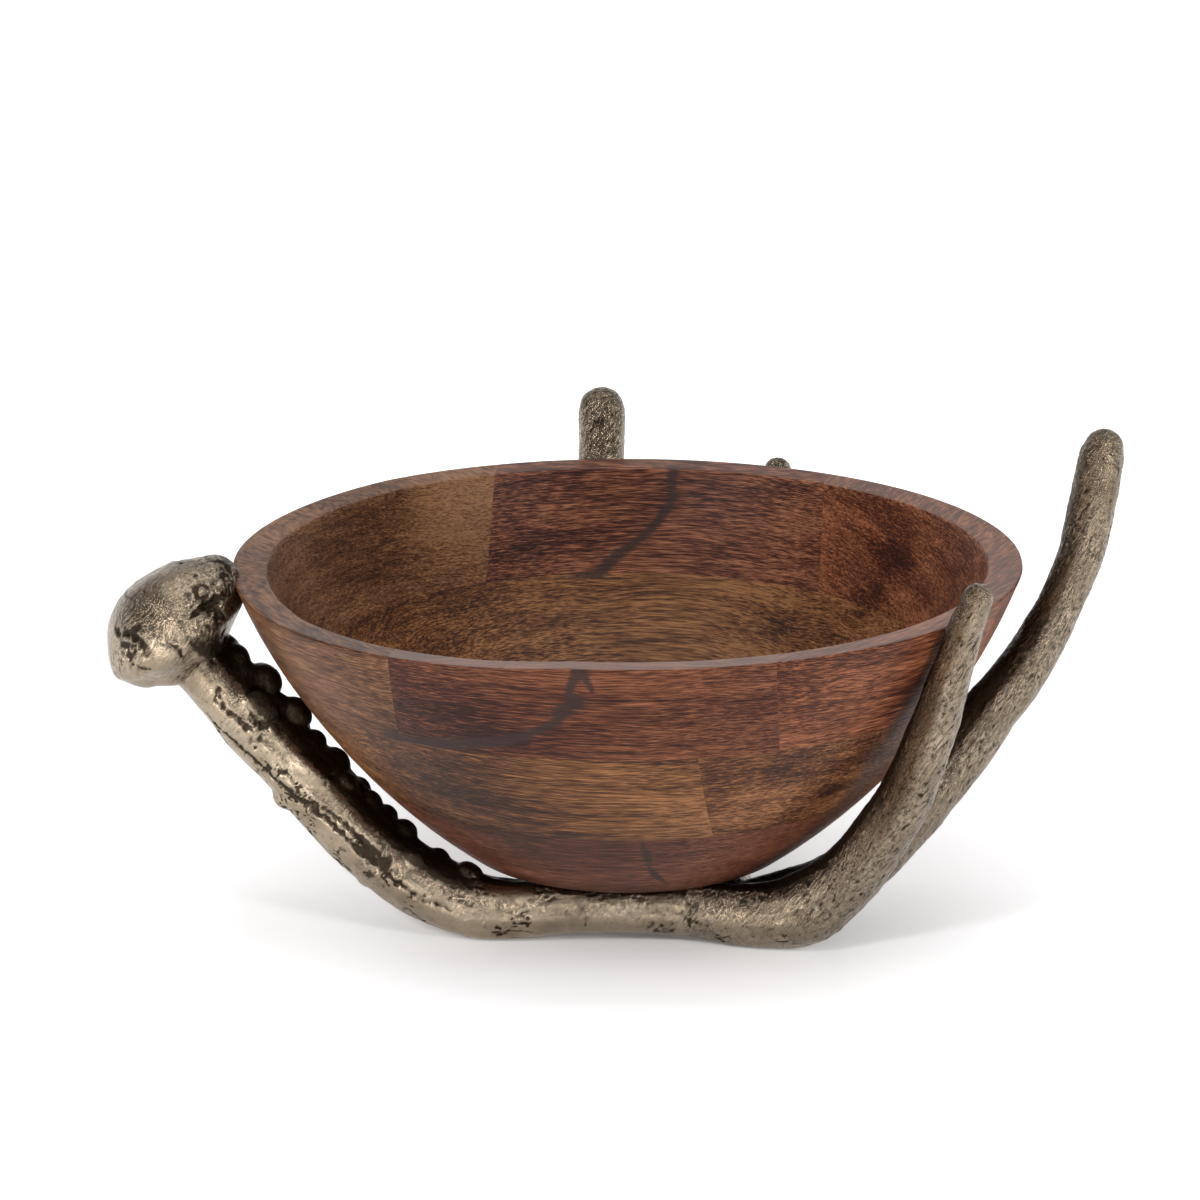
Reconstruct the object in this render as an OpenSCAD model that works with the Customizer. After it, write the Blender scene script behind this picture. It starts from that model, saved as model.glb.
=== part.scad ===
// A turned serving bowl, glued up from three layers of hardwood blocks,
// resting in a cast metal stand that has the shape of a shed antler.
// The bowl lifts straight off. The stand's castings are welded to each other.
// Millimetres, +Z up, resting on Z = 0, origin under the middle of the whole object.

/* [Bowl] */
// Diameter over the outside of the rim
rim_d = 350; // [346:0.5:350]
// Diameter of the flat foot
foot_d = 144; // [136:1:146]
// Height from the foot to the rim
bowl_h = 133; // [128:1:136]
// Wall thickness, square to the wall
wall_t = 14; // [12:0.5:16]
// Thickness in the middle of the floor
floor_t = 20; // [18:0.5:24]
// Radius of the outside of the wall, seen in section
wall_curve_r = 285; // [270:5:320]
// How far the inner edge of the rim lies below the outer edge
rim_fall = 1.2; // [0:0.1:2]

/* [Glued layers] */
// Height of the bottom layer above the foot
base_layer_h = 40; // [36:1:44]
// Height of the joint between the middle and the top layer above the foot
top_joint_h = 87; // [82:1:92]
// Left joint of the top layer, from the bowl's axis
left_joint = -80.5; // [-88:0.5:-74]
// Turn of that joint, clockwise seen from above
left_joint_turn = 7; // [4:0.1:12]
// Right joint of the top layer, from the bowl's axis
right_joint = 78; // [70:0.5:86]
// Turn of that joint, clockwise seen from above
right_joint_turn = 6.1; // [4:0.1:12]
// Joint of the middle layer, from the bowl's axis
wall_joint = 57; // [50:0.5:64]
// Turn of that joint, clockwise seen from above
wall_joint_turn = 10.8; // [4:0.1:14]

/* [Stand] */
// Height of the bowl's foot above the table
foot_z = 27; // [27:0.5:30]
// Radius of the burr, the cap at the beam's end
burr_r = 33; // [30:0.5:34]
// Height of the burr's dome
burr_dome_h = 28; // [24:1:30]
// Lean of the burr to the left, from upright
burr_lean = 33; // [25:1:40]
// Sides of each casting's cross-section
sides = 16; // [12:2:20]
// Rings between two points of a casting's route
ring_steps = 3; // [2:1:4]

/* [Hidden] */

$fn = 96;

// The bowl's axis stands here, so that the origin is in the middle of the whole object
bowl_axis = [4, -12.3, 0];

rim_r = rim_d / 2;
foot_r = foot_d / 2;
far = 2 * rim_d;

// Centre of the outer wall's arc, in the section plane (radius, height over the foot)
chord = [rim_r - foot_r, bowl_h];
chord_l = norm(chord);
arc_in = sqrt(pow(wall_curve_r, 2) - pow(chord_l / 2, 2));
arc_x = (rim_r + foot_r) / 2 - arc_in * chord.y / chord_l;
arc_z = bowl_h / 2 + arc_in * chord.x / chord_l;

// The inner wall shares that centre, and the floor's dish runs into it tangentially
inner_r = wall_curve_r - wall_t;
drop = arc_z - floor_t;
dish_r = (pow(inner_r, 2) - pow(arc_x, 2) - pow(drop, 2)) / (2 * (inner_r - drop));

// Routes of the castings, each point [x, y, z, radius], from the bowl's axis on the table.
// A route that carries on from another starts at the point where that one ends.
beam_route = [
    [-194, -27, 126.5, 13.5], [-182.5, -29, 113, 14], [-170, -31, 98.5, 14.5], [-155.5, -33, 83.5, 15],
    [-140, -36, 67.5, 15.5], [-123.5, -40, 50, 15.5], [-106.5, -44, 34, 15.3], [-87, -49, 21.5, 15],
    [-67, -52, 14.2, 14.3], [-51.5, -54, 13, 13.1], [-36, -55, 14.3, 12.1], [-18.5, -55, 15, 11.6],
    [-3, -55, 15.1, 11.4], [12, -55, 15, 11.6], [27.5, -56, 14.5, 12.1],
    [47, -60, 13.4, 13.1], [64.5, -64, 14.1, 14.5], [79, -68, 19.5, 15.6],
    [93.5, -74, 33, 14.2], [105, -83, 51, 12.9], [118.3, -94.7, 77.5, 11.4], [124.6, -102.5, 97.5, 10.5],
    [130.4, -108.3, 118, 9.6], [135.2, -114, 139, 8.4], [141, -117.6, 159.5, 7], [145.8, -121, 174.5, 6.1],
];
bridge_start = 11;
fork_start = 14;
front_tine_start = 17;
right_tine_route = [
    [50, -54, 14.5, 11], [72, -46, 16, 12], [95, -40, 23, 12.5], [110, -36, 33.5, 12.7],
    [136.5, -25, 61, 12.7], [160, -14, 91, 12.3], [176, -7, 110, 11], [188, 0, 128, 10],
    [198.5, 6, 150.5, 9.4], [203, 10, 164, 10], [206.5, 13, 178, 10.2], [210.5, 19, 200, 9.4],
    [211.5, 20, 204.5, 8.2],
];
back_route = [
    [46, -52, 13.8, 11.5], [43, -20, 14.2, 12.4], [38, 20, 14, 12.6], [30, 60, 13.6, 12.8],
    [20, 86, 13.7, 13.2], [9, 110, 28, 12.3], [-2, 140, 64, 11.6], [-8, 165, 105, 11],
    [-12.4, 182.6, 146.5, 10.9], [-12.3, 190.5, 180, 10.4],
];
back_tine_start = 4;
small_tine_route = [
    [24, 82, 14.5, 10], [40, 108, 30, 9], [54, 136, 66, 8.5], [64, 158, 108, 7.5],
    [70, 172, 138, 6.5], [72, 177, 153, 6],
];

// Where the burr's widest ring lies, from the bowl's axis
burr_at = [-197.5, -27, 132];

wood_red = "#7a4630";
wood_brown = "#85583a";
wood_gold = "#8f6434";
wood_plum = "#6b4034";
metal = "#a89b80";

// ---- Bowl ----

// Half section of the turned bowl, radius across and height up, from the foot
module bowl_section() {
    difference() {
        intersection() {
            translate([arc_x, arc_z]) circle(r = wall_curve_r, $fn = 180);
            square([far, bowl_h]);
        }
        intersection() {
            translate([arc_x, arc_z]) circle(r = inner_r, $fn = 180);
            union() {
                translate([0, floor_t + dish_r]) circle(r = dish_r, $fn = 180);
                translate([0, floor_t + dish_r]) square([far, far]);
            }
        }
        rim_slope();
    }
}

// What is turned away so that the top of the rim falls towards the inside
module rim_slope() {
    rim_w = rim_r - (arc_x + sqrt(pow(inner_r, 2) - pow(arc_z - bowl_h, 2)));
    polygon([[rim_r, bowl_h], [rim_r - 2 * rim_w, bowl_h - 2 * rim_fall], [rim_r - 2 * rim_w, bowl_h + 1],
        [rim_r, bowl_h + 1]]);
}

// The bowl between two heights over its foot
module layer(low, high) {
    translate(bowl_axis + [0, 0, foot_z]) intersection() {
        rotate_extrude($fn = 180) bowl_section();
        translate([-far / 2, -far / 2, low]) cube([far, far, high - low]);
        children();
    }
}

// All that lies to the right of an upright joint plane
module right_of(joint, turn) {
    rotate([0, 0, -turn]) translate([joint, -far / 2, -1]) cube([far, far, far]);
}

// All that lies to the left of an upright joint plane
module left_of(joint, turn) {
    rotate([0, 0, -turn]) translate([joint - far, -far / 2, -1]) cube([far, far, far]);
}

// The part of the top layer's middle board that lies on one side of the bowl: -1 front, 1 back
module middle_board(side) {
    intersection() {
        right_of(left_joint, left_joint_turn);
        left_of(right_joint, right_joint_turn);
        translate([-far / 2, side < 0 ? -far : 0, -1]) cube([far, far, far]);
    }
}

module rim_front_block() {
    color(wood_red) layer(top_joint_h, bowl_h) middle_board(-1);
}

module rim_back_block() {
    color(wood_red) layer(top_joint_h, bowl_h) middle_board(1);
}

module rim_left_block() {
    color(wood_brown) layer(top_joint_h, bowl_h) left_of(left_joint, left_joint_turn);
}

module rim_right_block() {
    color(wood_brown) layer(top_joint_h, bowl_h) right_of(right_joint, right_joint_turn);
}

module wall_left_block() {
    color(wood_gold) layer(base_layer_h, top_joint_h) left_of(wall_joint, wall_joint_turn);
}

module wall_right_block() {
    color(wood_gold) layer(base_layer_h, top_joint_h) right_of(wall_joint, wall_joint_turn);
}

module base_board() {
    color(wood_plum) layer(0, base_layer_h) translate([-far / 2, -far / 2, -1]) cube(far);
}

// ---- Stand ----

// Point on the smooth curve from b to c, with neighbours a and d, at t from 0 to 1
function curve_point(a, b, c, d, t) =
    0.5 * (2 * b + (c - a) * t + (2 * a - 5 * b + 4 * c - d) * t * t + (3 * b - a - 3 * c + d) * t * t * t);

// A route made smooth, with ring_steps points to a stretch
function smooth(route) =
    let (
        last = len(route) - 1,
        ends = concat([2 * route[0] - route[1]], route, [2 * route[last] - route[last - 1]])
    )
    concat(
        [for (i = [1 : last]) for (k = [0 : ring_steps - 1])
            curve_point(ends[i - 1], ends[i], ends[i + 1], ends[i + 2], k / ring_steps)],
        [route[last]]
    );

function place(p) = [p.x, p.y, p.z];
function unit(v) = v / norm(v);

// Direction of a smoothed route at its point i
function heading(path, i) =
    unit(place(path[min(i + 1, len(path) - 1)]) - place(path[max(i - 1, 0)]));

// Corners of a ring of a given radius around a place, square to a heading
function ring(at, along, across, r) =
    let (u = unit(cross(along, across)), v = cross(along, u))
    [for (k = [0 : sides - 1]) at + r * (cos(360 * k / sides) * u + sin(360 * k / sides) * v)];

// Rings of a smoothed route from point i to point j
function rings(path, i, j, across) =
    [for (k = [i : j]) ring(place(path[k]), heading(path, k), across, path[k][3])];

// Rings that round off a route's last point
function tip_rings(path, across) =
    let (last = len(path) - 1, at = place(path[last]), along = heading(path, last), r = path[last][3])
    [for (a = [25 : 20 : 85]) ring(at + r * sin(a) * along, along, across, r * cos(a))];

// Closed solid through a list of rings
module skin(loops) {
    n = len(loops);
    start = [for (k = [0 : sides - 1]) k];
    end = [for (k = [sides - 1 : -1 : 0]) (n - 1) * sides + k];
    sides_of = [for (i = [0 : n - 2]) for (k = [0 : sides - 1])
        let (a = i * sides + k, b = i * sides + (k + 1) % sides)
        each [[a, b + sides, b], [a, a + sides, b + sides]]];
    translate(bowl_axis) polyhedron(
        points = [for (loop = loops) each loop],
        faces = concat([start], sides_of, [end])
    );
}

front_path = smooth(beam_route);
right_path = smooth(right_tine_route);
back_path = smooth(back_route);
small_path = smooth(small_tine_route);

// The burr: a dome over a rounded edge, drawn in towards the beam below
module burr() {
    dome_r = (pow(burr_r, 2) + pow(burr_dome_h, 2)) / (2 * burr_dome_h);
    edge_r = 5;
    neck_r = 13;
    neck_z = -16;
    translate(bowl_axis + burr_at) rotate([0, -burr_lean, 0]) rotate_extrude($fn = 60) {
        intersection() {
            translate([0, burr_dome_h - dome_r]) circle(r = dome_r, $fn = 120);
            square([far, far]);
        }
        translate([burr_r - edge_r, 0]) circle(r = edge_r, $fn = 40);
        polygon([[0, 0], [burr_r - edge_r, 0], [burr_r - edge_r + 2, -edge_r + 0.5], [neck_r, neck_z], [0, neck_z]]);
    }
}

// A casting filed flat where it meets the table
module filed() {
    intersection() {
        children();
        translate([-far, -far, 0]) cube(2 * far);
    }
}

module burr_beam() {
    color(metal) filed() union() {
        skin(rings(front_path, 0, bridge_start * ring_steps, [0, 1, 0]));
        burr();
    }
}

module bridge() {
    color(metal) skin(rings(front_path, bridge_start * ring_steps, fork_start * ring_steps, [0, 1, 0]));
}

module fork() {
    color(metal) filed() skin(rings(front_path, fork_start * ring_steps, front_tine_start * ring_steps, [0, 1, 0]));
}

module front_tine() {
    color(metal) skin(concat(
        rings(front_path, front_tine_start * ring_steps, len(front_path) - 1, [0, 1, 0]),
        tip_rings(front_path, [0, 1, 0])
    ));
}

module right_tine() {
    color(metal) skin(concat(
        rings(right_path, 0, len(right_path) - 1, [0, 1, 0]),
        tip_rings(right_path, [0, 1, 0])
    ));
}

module back_beam() {
    color(metal) filed() skin(rings(back_path, 0, back_tine_start * ring_steps, [1, 0, 0]));
}

module back_tall_tine() {
    color(metal) skin(concat(
        rings(back_path, back_tine_start * ring_steps, len(back_path) - 1, [1, 0, 0]),
        tip_rings(back_path, [1, 0, 0])
    ));
}

module back_small_tine() {
    color(metal) skin(concat(
        rings(small_path, 0, len(small_path) - 1, [1, 0, 0]),
        tip_rings(small_path, [1, 0, 0])
    ));
}

rim_front_block();
rim_back_block();
rim_left_block();
rim_right_block();
wall_left_block();
wall_right_block();
base_board();
burr_beam();
bridge();
fork();
front_tine();
right_tine();
back_beam();
back_tall_tine();
back_small_tine();
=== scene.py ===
import math

import bmesh
import bpy
import numpy as np
from mathutils import Matrix, Vector, kdtree


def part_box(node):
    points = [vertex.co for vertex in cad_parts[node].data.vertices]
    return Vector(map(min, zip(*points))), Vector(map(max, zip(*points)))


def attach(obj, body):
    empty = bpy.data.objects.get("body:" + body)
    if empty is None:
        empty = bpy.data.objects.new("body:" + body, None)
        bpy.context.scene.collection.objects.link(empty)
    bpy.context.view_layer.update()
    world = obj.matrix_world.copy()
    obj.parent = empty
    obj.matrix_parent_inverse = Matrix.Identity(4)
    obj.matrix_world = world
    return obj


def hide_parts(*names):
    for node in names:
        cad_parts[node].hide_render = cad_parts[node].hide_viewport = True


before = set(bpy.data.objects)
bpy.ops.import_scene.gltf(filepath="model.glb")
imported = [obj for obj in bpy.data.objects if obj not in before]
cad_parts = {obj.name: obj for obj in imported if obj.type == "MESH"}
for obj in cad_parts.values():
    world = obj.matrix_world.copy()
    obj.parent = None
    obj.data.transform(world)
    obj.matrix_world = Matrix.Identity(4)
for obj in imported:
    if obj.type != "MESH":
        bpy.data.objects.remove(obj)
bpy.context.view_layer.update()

MM = 0.001

# ---- Sizes, in the frame's metres ----

base_low, base_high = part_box("base_board")
rim_low, rim_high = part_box("rim_left_block")
AXIS = ((base_low + base_high) / 2).to_2d()
FOOT_Z = base_low.z
TOP_Z = rim_high.z
BOWL_H = TOP_Z - FOOT_Z
RIM_R = AXIS.x - rim_low.x
FOOT_R = 72 * MM
BASE_H = base_high.z - FOOT_Z
TOP_JOINT_H = rim_low.z - FOOT_Z
WALL_T = 14 * MM
FLOOR_T = 20 * MM
WALL_CURVE_R = 285 * MM
RIM_FALL = 1.2 * MM
EDGE_R = 1.1 * MM


# ---- Noise ----

CORNERS = [(i, j, k) for i in (0, 1) for j in (0, 1) for k in (0, 1)]
GRADIENTS = np.array([
    (1, 1, 0), (-1, 1, 0), (1, -1, 0), (-1, -1, 0), (1, 0, 1), (-1, 0, 1), (1, 0, -1), (-1, 0, -1),
    (0, 1, 1), (0, -1, 1), (0, 1, -1), (0, -1, -1), (1, 1, 0), (-1, 1, 0), (0, -1, 1), (0, -1, -1),
], float)


def hashed(cell, seed):
    """A repeatable whole number for each lattice cell."""
    c = cell.astype(np.int64).astype(np.uint32)
    h = c[:, 0] * np.uint32(73856093) ^ c[:, 1] * np.uint32(19349663) ^ c[:, 2] * np.uint32(83492791)
    h = h ^ np.uint32(seed * 2654435761 % 4294967296)
    h = (h ^ (h >> np.uint32(13))) * np.uint32(1274126177)
    return h ^ (h >> np.uint32(16))


def noise(p, seed=0):
    """Gradient noise from about -1 to 1 at points p."""
    cell = np.floor(p)
    f = p - cell
    fade = f * f * f * (f * (f * 6 - 15) + 10)
    total = np.zeros(len(p))
    for corner in CORNERS:
        at = np.array(corner, float)
        slope = GRADIENTS[hashed(cell + at, seed) % 16]
        weight = np.prod(np.where(at > 0, fade, 1 - fade), axis=1)
        total += weight * np.einsum("ij,ij->i", slope, f - at)
    return total


def rough_noise(p, octaves, seed=0):
    """Several octaves of noise, each half as big and twice as fine."""
    total, size = 0.0, 1.0
    for octave in range(octaves):
        total = total + size * noise(p * 2.0 ** octave, seed + octave)
        size *= 0.5
    return total


def cell_distance(p, seed=0):
    """Distance from each point to the nearest of the points scattered one to a cell."""
    cell = np.floor(p)
    best = np.full(len(p), 9.0)
    for i in (-1, 0, 1):
        for j in (-1, 0, 1):
            for k in (-1, 0, 1):
                near = cell + (i, j, k)
                h = hashed(near, seed)
                thirds = [(h >> np.uint32(shift)) % np.uint32(1024) for shift in (0, 10, 20)]
                jitter = np.stack(thirds, axis=1) / 1024.0
                best = np.minimum(best, np.linalg.norm(near + jitter - p, axis=1))
    return best


def ramp(x, low, high):
    """0 below low, 1 above high, smooth between."""
    t = np.clip((x - low) / (high - low), 0, 1)
    return t * t * (3 - 2 * t)


# ---- Mesh helpers ----

def make_mesh(name, points, faces, body, nodes):
    """A mesh from points and faces that rides on a body and stands for CAD nodes."""
    mesh = bpy.data.meshes.new(name)
    mesh.from_pydata(points, [], faces)
    mesh.update()
    return add_piece(name, mesh, body, nodes)


def add_piece(name, mesh, body, nodes):
    """Shows a mesh as a piece: its edges are sharp only where two faces meet at a corner."""
    mesh.shade_smooth()
    mesh.set_sharp_from_angle(angle=math.radians(50))
    piece = bpy.data.objects.new(name, mesh)
    bpy.context.scene.collection.objects.link(piece)
    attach(piece, body)
    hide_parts(*nodes)
    return piece


def store(mesh, name, values):
    """Keeps one number for each vertex, for the mesh's material."""
    mesh.attributes.new(name, "FLOAT", "POINT").data.foreach_set("value", values.astype(np.float32))


def points_of(mesh):
    out = np.empty(len(mesh.vertices) * 3, np.float32)
    mesh.vertices.foreach_get("co", out)
    return out.reshape(-1, 3).astype(float)


def line_distance(p, line):
    """Distance from each point to a line of points, and how far along it (0 to 1) the nearest place is."""
    best, along = np.full(len(p), 9.0), np.zeros(len(p))
    lengths = np.linalg.norm(np.diff(line, axis=0), axis=1)
    done = 0.0
    for a, b, length in zip(line[:-1], line[1:], lengths):
        t = np.clip((p - a) @ (b - a) / length ** 2, 0, 1)
        d = np.linalg.norm(p - a - t[:, None] * (b - a), axis=1)
        nearer = d < best
        best[nearer] = d[nearer]
        along[nearer] = (done + t[nearer] * length) / lengths.sum()
        done += length
    return best, along


# ---- The bowl's section, in radius and height above the foot ----

# The outer wall is an arc about ARC, and the inside is an arc about the same point with a dished floor.
chord = np.array([RIM_R - FOOT_R, BOWL_H])
half_chord = np.linalg.norm(chord) / 2
across = np.array([-chord[1], chord[0]])
ARC = np.array([RIM_R + FOOT_R, BOWL_H]) / 2
ARC = ARC + math.sqrt(WALL_CURVE_R ** 2 - half_chord ** 2) * across / (2 * half_chord)
INNER_R = WALL_CURVE_R - WALL_T
DROP = ARC[1] - FLOOR_T
DISH_R = (INNER_R ** 2 - ARC[0] ** 2 - DROP ** 2) / (2 * (INNER_R - DROP))
DISH_TOP = ARC[1] + INNER_R * (FLOOR_T + DISH_R - ARC[1]) / (INNER_R - DISH_R)


def outer_wall(h):
    return ARC[0] + np.sqrt(WALL_CURVE_R ** 2 - (h - ARC[1]) ** 2)


def inner_wall(h):
    wall = ARC[0] + np.sqrt(INNER_R ** 2 - (h - ARC[1]) ** 2)
    dish = np.sqrt(np.maximum(DISH_R ** 2 - (FLOOR_T + DISH_R - h) ** 2, 0))
    return np.where(h < DISH_TOP, dish, wall)


def side(radius, low, high, count):
    h = np.linspace(low, high, count)
    return np.stack([radius(h), h], axis=1)


def straight(a, b, count):
    return np.array(a) + np.linspace(0, 1, count)[:, None] * (np.array(b) - np.array(a))


def ease(before, corner, after, r, count=5):
    """A rounded corner of about radius r between two neighbouring points."""
    a = corner + r * (before - corner) / np.linalg.norm(before - corner)
    b = corner + r * (after - corner) / np.linalg.norm(after - corner)
    t = np.linspace(0, 1, count)[:, None]
    return (1 - t) ** 2 * a + 2 * t * (1 - t) * corner + t ** 2 * b


def rim_section():
    outer = side(outer_wall, TOP_JOINT_H, BOWL_H, 34)
    inner = side(inner_wall, TOP_JOINT_H, BOWL_H - RIM_FALL, 34)
    lip = ease(outer[-2], outer[-1], inner[-1], EDGE_R * 1.5)
    mouth = ease(outer[-1], inner[-1], inner[-2], EDGE_R * 1.2)
    top = straight(lip[-1], mouth[0], 9)[1:-1]
    joint = straight(inner[0], outer[0], 8)[1:-1]
    return np.concatenate([outer[:-1], lip, top, mouth, inner[-2::-1], joint])


def wall_section():
    outer = side(outer_wall, BASE_H, TOP_JOINT_H, 32)
    inner = side(inner_wall, BASE_H, TOP_JOINT_H, 32)
    over = straight(outer[-1], inner[-1], 8)[1:-1]
    under = straight(inner[0], outer[0], 10)[1:-1]
    return np.concatenate([outer, over, inner[::-1], under])


def base_section():
    outer = side(outer_wall, 0, BASE_H, 30)
    foot = ease(np.array([0, 0]), outer[0], outer[1], EDGE_R * 1.6)
    angle = np.linspace(0.004, math.acos(1 - (BASE_H - FLOOR_T) / DISH_R), 44)
    inner = np.stack([DISH_R * np.sin(angle), FLOOR_T + DISH_R * (1 - np.cos(angle))], axis=1)
    over = straight(outer[-1], inner[-1], 12)[1:-1]
    under = straight([inner[0][0], 0], foot[0], 36)[:-1]
    return np.concatenate([under, foot, outer[2:], over, inner[::-1]])


# ---- Wood blocks ----

# How far the rim lies below a flat circle, at angles about the bowl's axis.
WARP_AT = np.radians([-98, -111, -127, -150, -180, -205, -230])
WARP = np.array([0.0, 2.4, 4.1, 5.3, 2.2, 1.6, 0.0]) * MM


def shaped(radius, angle, height):
    """Points of the bowl about its axis, above its foot. The wall has sunk a little at the left."""
    back = np.where(angle > math.radians(130), angle - 2 * math.pi, angle)
    turned = np.where(back < math.radians(-230), back + 2 * math.pi, back)
    sink = np.interp(-turned, -WARP_AT, WARP, left=0, right=0)
    h = height - sink * ramp(height, 0.4 * BOWL_H, BOWL_H)
    p = np.stack([radius * np.cos(angle), radius * np.sin(angle), h], axis=-1).reshape(-1, 3)
    outward = p / np.maximum(np.linalg.norm(p[:, :2], axis=1), 0.01)[:, None]
    ripple = 0.12 * MM * noise(p / (9 * MM), 5) + 0.25 * MM * noise(p / (38 * MM), 6)
    return p + outward * (1, 1, 0) * ripple[:, None]


def block(name, section, start, end, columns, node):
    """One board of the bowl: its section swept from one joint plane to the other."""
    radius, height = section[:, 0], section[:, 1]
    a, b = start(radius), end(radius)
    t = np.linspace(0, 1, columns)[:, None]
    angle = a + (b - a) * t
    p = shaped(np.broadcast_to(radius, angle.shape), angle, np.broadcast_to(height, angle.shape))
    n = len(section)
    i, j = np.meshgrid(np.arange(columns - 1), np.arange(n), indexing="ij")
    k = (j + 1) % n
    quads = np.stack([i * n + j, i * n + k, (i + 1) * n + k, (i + 1) * n + j], axis=-1).reshape(-1, 4)
    faces = quads[:, ::-1].tolist() + [list(range(n)), list(range((columns - 1) * n, columns * n))[::-1]]
    return bowl_piece(name, p, faces, node)


def disc(name, section, columns, node):
    """The round bottom board, turned about the bowl's axis."""
    angle = np.linspace(-math.pi, math.pi, columns, endpoint=False)[:, None] + 0 * section[:, 0]
    radius, height = (np.broadcast_to(section[:, c], angle.shape) for c in (0, 1))
    p = shaped(radius, angle, height)
    n = len(section)
    i, j = np.meshgrid(np.arange(columns), np.arange(n - 1), indexing="ij")
    k = (i + 1) % columns
    quads = np.stack([i * n + j, k * n + j, k * n + j + 1, i * n + j + 1], axis=-1).reshape(-1, 4)
    under = [c * n for c in range(columns)][::-1]
    over = [c * n + n - 1 for c in range(columns)]
    return bowl_piece(name, p, quads.tolist() + [under, over], node)


# Dark veins in the wood: points about the bowl's axis and above its foot, and the half width there, in mm.
VEINS = [
    [(-19, -174, 133, 2.2), (-22.5, -171, 126, 1.3), (-24.6, -168, 120, 1.0), (-21, -167.5, 117.5, 2.6),
     (-26.7, -164, 112.5, 2.3), (-29, -161, 106.5, 1.5), (-40, -154.4, 99, 1.4), (-53, -148, 94, 2.0),
     (-74, -135, 89.5, 2.1), (-96, -118, 87, 1.9), (-106, -108, 85.5, 0.6)],
    [(-22, -174, 133, 1.0), (-18, -173, 131.5, 1.6), (-14, -170, 122, 0.5)],
    [(22, 160, 133, 2.0), (21.3, 156, 127, 1.6), (21.3, 152, 118, 1.3), (15.6, 148.7, 110, 1.5),
     (10.8, 146, 105, 1.2), (1.3, 142.5, 98, 1.5), (-8.2, 138.4, 92, 1.9), (-13, 134.2, 87, 1.9),
     (-27, 131.2, 86, 0.6), (-50.7, 124.4, 86.6, 0.5), (-66, 117, 87, 0.3)],
    [(5.4, -118, 40.5, 0.6), (8.8, -108, 31, 1.3), (9.5, -100, 22, 0.8), (11.9, -91, 15, 1.2),
     (18.5, -78.3, 6, 0.4)],
    [(-3, -93, 13.5, 0.5), (2, -92, 13.2, 2.0), (6, -92, 13.8, 0.5)],
]
# Broad light and dark areas: centre in the same mm, reach, and how much lighter.
# Of these, the first two are a painted sheen on the inner wall at the back left, the three at x 86 to 117 on
# the front right are painted shade beside the front tine, and the rest are tone in the wood.
PATCHES = [
    (-84, 134, 128, 22, 0.35), (-88, 124, 115, 16, 0.3), (122, 82, 112, 13, -0.45), (108, 78, 88, 9, -0.3),
    (71, 98.6, 72, 7, -0.5), (117, -109, 100, 11, -0.35), (103, -103, 76, 10, -0.4),
    (86, -99.7, 57, 8, -0.45), (-62, -116, 62, 42, -0.42), (-100, -90, 70, 30, -0.25),
    (69, -102, 46, 8, -0.3), (44, -117, 72, 16, 0.4), (60, -108, 60, 16, 0.3), (40, -124, 48, 9, 0.3),
]


def bowl_piece(name, p, faces, node):
    """Adds a board, with the marks in its wood stored on it."""
    vein = np.full(len(p), 9.0)
    for line in VEINS:
        line = np.array(line)
        at = np.linspace(0, len(line) - 1, 6 * len(line))
        smooth = np.stack([np.interp(at, np.arange(len(line)), line[:, c]) for c in range(4)], axis=1)
        lengths = np.append(0, np.cumsum(np.linalg.norm(np.diff(smooth[:, :3], axis=0), axis=1)))
        d, along = line_distance(p, smooth[:, :3] * MM)
        half = 1.2 * np.interp(along, lengths / lengths[-1], smooth[:, 3]) * MM
        vein = np.minimum(vein, d / half)
    patch = np.zeros(len(p))
    for x, y, h, reach, lift in PATCHES:
        d = np.linalg.norm(p - np.array([x, y, h]) * MM, axis=1) / (reach * MM)
        patch += lift * np.exp(-d * d)
    piece = make_mesh(name, (p + (AXIS.x, AXIS.y, FOOT_Z)).tolist(), faces, "bowl", [node])
    store(piece.data, "vein", np.minimum(vein, 9))
    store(piece.data, "patch", patch)
    return piece


def joint(plane, back, around=0):
    """Where a board meets a joint plane, on its front or back side: a function from radius to angle."""
    offset, turn = plane
    sign = 1 if back else -1
    return lambda r: sign * np.arccos(np.clip(offset * MM / r, -1, 1)) - math.radians(turn) + around


# The joint planes: offset from the bowl's axis in mm, and turn in degrees.
LEFT_JOINT, RIGHT_JOINT, WALL_JOINT = (-80.5, 7), (78, 6.1), (57, 10.8)
LEFT_FRONT, LEFT_BACK = joint(LEFT_JOINT, False), joint(LEFT_JOINT, True)
RIGHT_FRONT, RIGHT_BACK = joint(RIGHT_JOINT, False), joint(RIGHT_JOINT, True)
WALL_FRONT, WALL_BACK = joint(WALL_JOINT, False), joint(WALL_JOINT, True)
# The front joints again, as the ends of the boards that go round the left side.
LEFT_END, WALL_END = joint(LEFT_JOINT, False, 2 * math.pi), joint(WALL_JOINT, False, 2 * math.pi)

bowl_pieces = {
    "rim_front": block("rim_front_board", rim_section(), LEFT_FRONT, RIGHT_FRONT, 90,
                       "rim_front_block"),
    "rim_back": block("rim_back_board", rim_section(), RIGHT_BACK, LEFT_BACK, 90,
                      "rim_back_block"),
    "rim_left": block("rim_left_board", rim_section(), LEFT_BACK, LEFT_END, 170,
                      "rim_left_block"),
    "rim_right": block("rim_right_board", rim_section(), RIGHT_FRONT, RIGHT_BACK, 170,
                       "rim_right_block"),
    "wall_left": block("wall_left_board", wall_section(), WALL_BACK, WALL_END, 250,
                       "wall_left_block"),
    "wall_right": block("wall_right_board", wall_section(), WALL_FRONT, WALL_BACK, 150,
                        "wall_right_block"),
    "base": disc("base_disc", base_section(), 320, "base_board"),
}


# ---- Antler ----

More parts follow.
